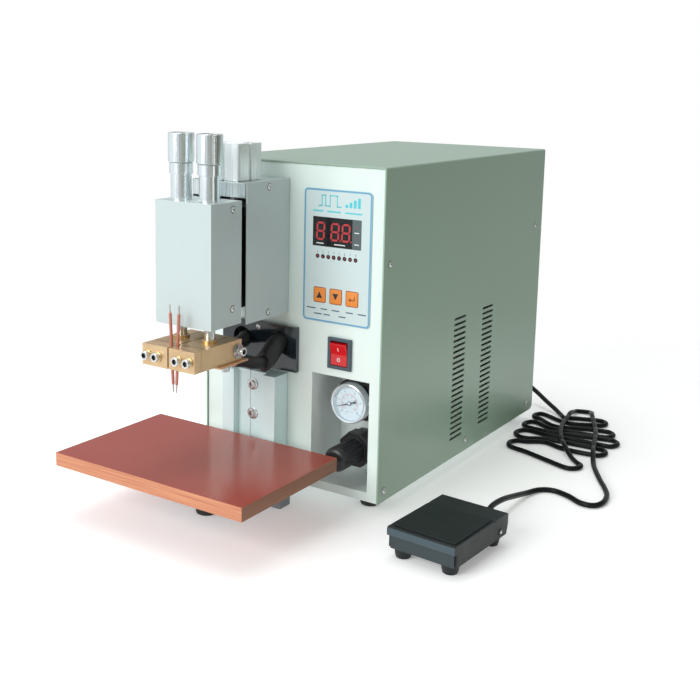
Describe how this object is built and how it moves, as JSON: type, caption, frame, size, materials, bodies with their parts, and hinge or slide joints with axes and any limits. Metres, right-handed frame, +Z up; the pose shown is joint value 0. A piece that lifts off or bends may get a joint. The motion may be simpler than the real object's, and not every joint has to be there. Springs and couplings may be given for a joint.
{
  "type": "spot welder",
  "caption": "Bench spot welder: sheet-metal cabinet with a sliding pneumatic head, twin electrode arms, a work table on a column, air controls and a corded foot pedal.",
  "frame": {"origin": "on the floor, under the centre of the bounding box of the machine and its foot pedal, without the pedal's lead", "axes": "+X to the operator's right, +Y from the front to the back, +Z up"},
  "size_m": [0.4166, 0.6075, 0.3616],
  "materials": {
    "panel_paint": "glossy",
    "cover_paint": "glossy",
    "head_paint": "satin",
    "grey_paint": "satin",
    "rubber": "matte",
    "chrome": "polished",
    "nickel": "turned",
    "steel": "ground",
    "aluminium": "anodised",
    "brass": "milled",
    "copper": "drawn",
    "phenolic": "glossy",
    "black_plastic": "satin",
    "dark_plastic": "satin",
    "black_sheet": "glossy",
    "cable_rubber": "satin",
    "black_anodised": "anodised",
    "overlay_film": "satin",
    "key_orange": "satin",
    "switch_red": "glossy",
    "board_green": "satin",
    "laminations": "varnished",
    "cord_sheath": "satin"
  },
  "bodies": {
    "cabinet": {"chassis": "panel_paint", "regulator_box": "panel_paint", "cabinet_cover": "cover_paint", "slide_housing": "head_paint", "table_bracket": "grey_paint", "foot_front_left": "rubber", "foot_front_right": "rubber", "foot_rear_left": "rubber", "foot_rear_right": "rubber", "levelling_foot": "rubber", "gauge_case": "chrome", "slide_rail": "steel", "pedal_pin": "steel", "column": "aluminium", "top_plate": "aluminium", "air_cylinder": "aluminium", "air_inlet": "brass", "transformer_winding": "copper", "table_plate": "phenolic", "regulator_body": "black_plastic", "solenoid_valve": "black_plastic", "mains_inlet": "black_plastic", "cord_gland": "black_plastic", "pedal_base": "black_plastic", "rocker_bezel": "dark_plastic", "cable_plate": "black_sheet", "weld_cable_left": "cable_rubber", "weld_cable_right": "cable_rubber", "control_overlay": "overlay_film", "control_board": "board_green", "transformer_core": "laminations", "cord_near": "cord_sheath", "cord_hank": "cord_sheath", "cord_far": "cord_sheath"},
    "head": {"head_frame": "aluminium", "head_cover": "head_paint", "carriage": "black_anodised", "piston_rod": "chrome", "spring_tube_left": "nickel", "spring_tube_right": "nickel", "spring_left": "steel", "spring_right": "steel"},
    "left_electrode_arm": {"plunger_left": "chrome", "arm_left": "brass", "jaw_left": "brass", "electrode_left": "copper"},
    "right_electrode_arm": {"plunger_right": "chrome", "arm_right": "brass", "jaw_right": "brass", "electrode_right": "copper"},
    "left_pressure_knob": {"knob_left": "nickel"},
    "right_pressure_knob": {"knob_right": "nickel"},
    "gauge_pointer": {"gauge_needle": "black_plastic"},
    "regulator_screw": {"regulator_spindle": "steel"},
    "regulator_handle": {"regulator_knob": "black_plastic"},
    "power_rocker": {"rocker": "switch_red"},
    "up_key": {"key_up": "key_orange"},
    "down_key": {"key_down": "key_orange"},
    "set_key": {"key_set": "key_orange"},
    "treadle": {"pedal_treadle": "black_plastic"}
  },
  "joints": [
    {"name": "head_slide", "type": "slide", "parent": "cabinet", "child": "head", "axis": [0, 0, -1], "range_m": [0, 0.02], "stiffness_N_per_m": 400, "springref_m": -0.12, "deforming": ["weld_cable_left", "weld_cable_right"]},
    {"name": "left_plunger_slide", "type": "slide", "parent": "head", "child": "left_electrode_arm", "axis": [0, 0, 1], "range_m": [0, 0.008], "stiffness_N_per_m": 1500, "springref_m": -0.01, "deforming": ["spring_left"]},
    {"name": "right_plunger_slide", "type": "slide", "parent": "head", "child": "right_electrode_arm", "axis": [0, 0, 1], "range_m": [0, 0.008], "stiffness_N_per_m": 1500, "springref_m": -0.01, "deforming": ["spring_right"]},
    {"name": "left_knob_turn", "type": "hinge", "parent": "head", "child": "left_pressure_knob", "pos_m": [-0.09246, -0.213, 0.348], "axis": [0, 0, -1], "range_deg": [0, 720]},
    {"name": "right_knob_turn", "type": "hinge", "parent": "head", "child": "right_pressure_knob", "pos_m": [-0.05946, -0.213, 0.348], "axis": [0, 0, -1], "range_deg": [0, 720]},
    {"name": "gauge_pointer_turn", "type": "hinge", "parent": "cabinet", "child": "gauge_pointer", "pos_m": [0.02274, -0.1027, 0.103], "axis": [0, 1, 0], "range_deg": [-25, 245], "stiffness_Nm_per_rad": 0.002},
    {"name": "regulator_turn", "type": "hinge", "parent": "cabinet", "child": "regulator_screw", "pos_m": [0.02274, -0.103, 0.053], "axis": [0, 1, 0], "range_deg": [-720, 720]},
    {"name": "regulator_pull", "type": "slide", "parent": "regulator_screw", "child": "regulator_handle", "axis": [0, -1, 0], "range_m": [0, 0.004]},
    {"name": "power_rocker_tilt", "type": "hinge", "parent": "cabinet", "child": "power_rocker", "pos_m": [0.01744, -0.11, 0.1537], "axis": [-1, 0, 0], "range_deg": [0, 14]},
    {"name": "up_key_press", "type": "slide", "parent": "cabinet", "child": "up_key", "axis": [0, 1, 0], "range_m": [0, 0.0004], "stiffness_N_per_m": 600, "springref_m": -0.0005},
    {"name": "down_key_press", "type": "slide", "parent": "cabinet", "child": "down_key", "axis": [0, 1, 0], "range_m": [0, 0.0004], "stiffness_N_per_m": 600, "springref_m": -0.0005},
    {"name": "set_key_press", "type": "slide", "parent": "cabinet", "child": "set_key", "axis": [0, 1, 0], "range_m": [0, 0.0004], "stiffness_N_per_m": 600, "springref_m": -0.0005},
    {"name": "treadle_press", "type": "hinge", "parent": "cabinet", "child": "treadle", "pos_m": [0.15118, -0.10107, 0.015], "axis": [0.998, -0.0628, 0], "range_deg": [0, 3.6], "stiffness_Nm_per_rad": 0.8, "springref_deg": -8.59}
  ]
}
